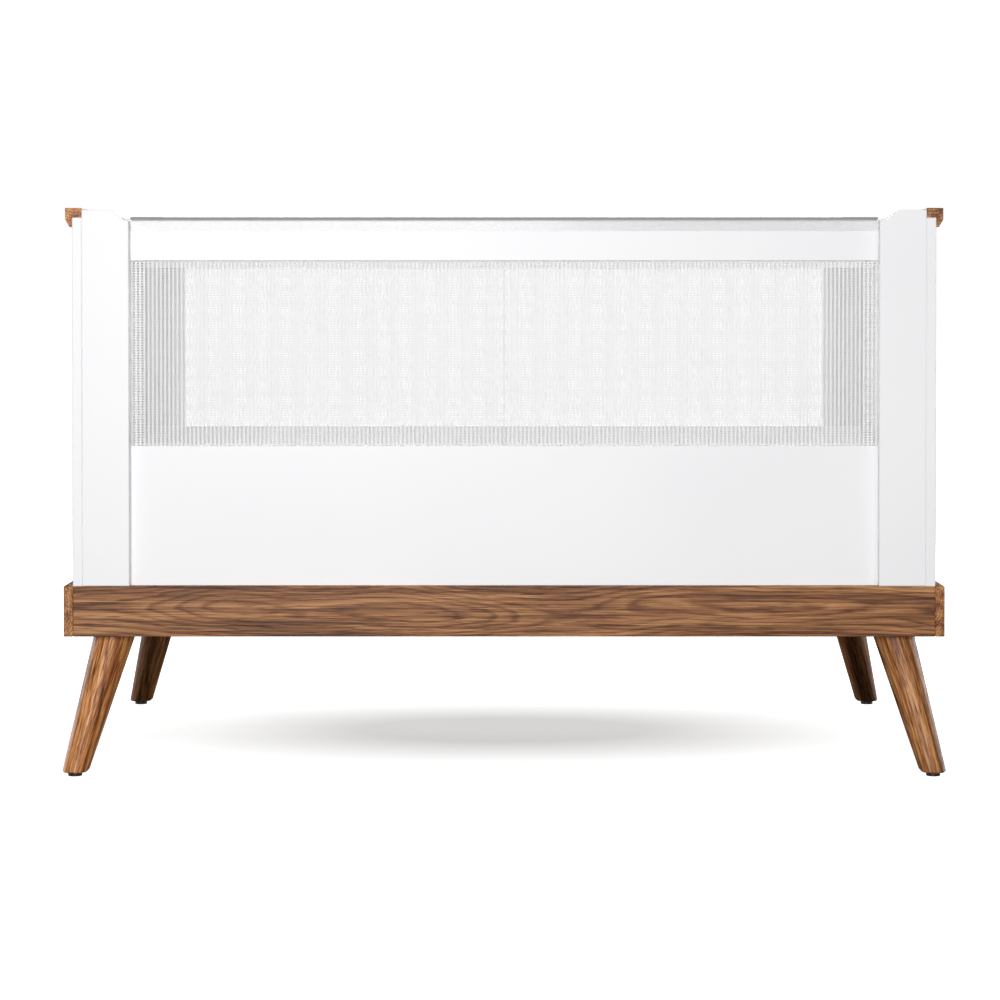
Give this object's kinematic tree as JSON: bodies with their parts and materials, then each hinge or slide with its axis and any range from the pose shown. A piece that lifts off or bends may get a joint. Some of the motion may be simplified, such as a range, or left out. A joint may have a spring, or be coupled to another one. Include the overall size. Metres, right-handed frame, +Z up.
{
  "type": "baby crib",
  "caption": "Baby crib with solid white ends, woven mesh sides, an oak-coloured base ring, splayed round legs and a mattress support that sets to three heights.",
  "frame": {"origin": "on the floor, under the middle of the crib", "axes": "+X along the length to the right, +Y from the front to the rear, +Z up"},
  "size_m": [1.396, 0.8, 0.896],
  "materials": {
    "white_lacquer": "white satin lacquer on board",
    "oak": "oiled, brown, open grain",
    "mesh_fabric": "white woven mesh with oval holes",
    "guard_plastic": "clear, smooth",
    "strip_plastic": "white, satin",
    "glide_plastic": "black, fine grain",
    "cap_plastic": "white, satin",
    "steel": "zinc plated",
    "pine": "bare, planed",
    "mattress_fabric": "off-white quilted cotton"
  },
  "bodies": {
    "crib_frame": {"end_panel_left": "white_lacquer", "end_panel_right": "white_lacquer", "end_cap_left": "oak", "end_cap_right": "oak", "corner_post_front_left": "white_lacquer", "corner_post_front_right": "white_lacquer", "corner_post_rear_left": "white_lacquer", "corner_post_rear_right": "white_lacquer", "top_rail_front": "white_lacquer", "top_rail_rear": "white_lacquer", "teething_guard_front": "guard_plastic", "teething_guard_rear": "guard_plastic", "lower_panel_front": "white_lacquer", "lower_panel_rear": "white_lacquer", "mesh_front": "mesh_fabric", "mesh_rear": "mesh_fabric", "mesh_strip_upper_front": "strip_plastic", "mesh_strip_upper_rear": "strip_plastic", "mesh_strip_lower_front": "strip_plastic", "mesh_strip_lower_rear": "strip_plastic", "base_apron_front": "oak", "base_apron_rear": "oak", "base_apron_left": "oak", "base_apron_right": "oak", "leg_block_front_left": "pine", "leg_block_front_right": "pine", "leg_block_rear_left": "pine", "leg_block_rear_right": "pine", "leg_front_left": "oak", "leg_front_right": "oak", "leg_rear_left": "oak", "leg_rear_right": "oak", "glide_front_left": "glide_plastic", "glide_front_right": "glide_plastic", "glide_rear_left": "glide_plastic", "glide_rear_right": "glide_plastic", "hanger_bolts": "steel", "panel_bolts": "steel", "barrel_nuts": "steel", "bolt_caps": "cap_plastic", "dowels": "pine", "post_screws": "steel", "apron_screws": "steel", "support_pins": "steel"},
    "mattress_base": {"slat_screws": "steel", "support_rail_front": "pine", "support_rail_rear": "pine", "support_rail_left": "pine", "support_rail_right": "pine", "slat_01": "pine", "slat_02": "pine", "slat_03": "pine", "slat_04": "pine", "slat_05": "pine", "slat_06": "pine", "slat_07": "pine", "slat_08": "pine", "slat_09": "pine", "slat_10": "pine", "mattress": "mattress_fabric"}
  },
  "joints": [
    {"name": "base_lift", "type": "slide", "parent": "crib_frame", "child": "mattress_base", "axis": [0, 0, 1], "range_m": [0, 0.22]}
  ]
}
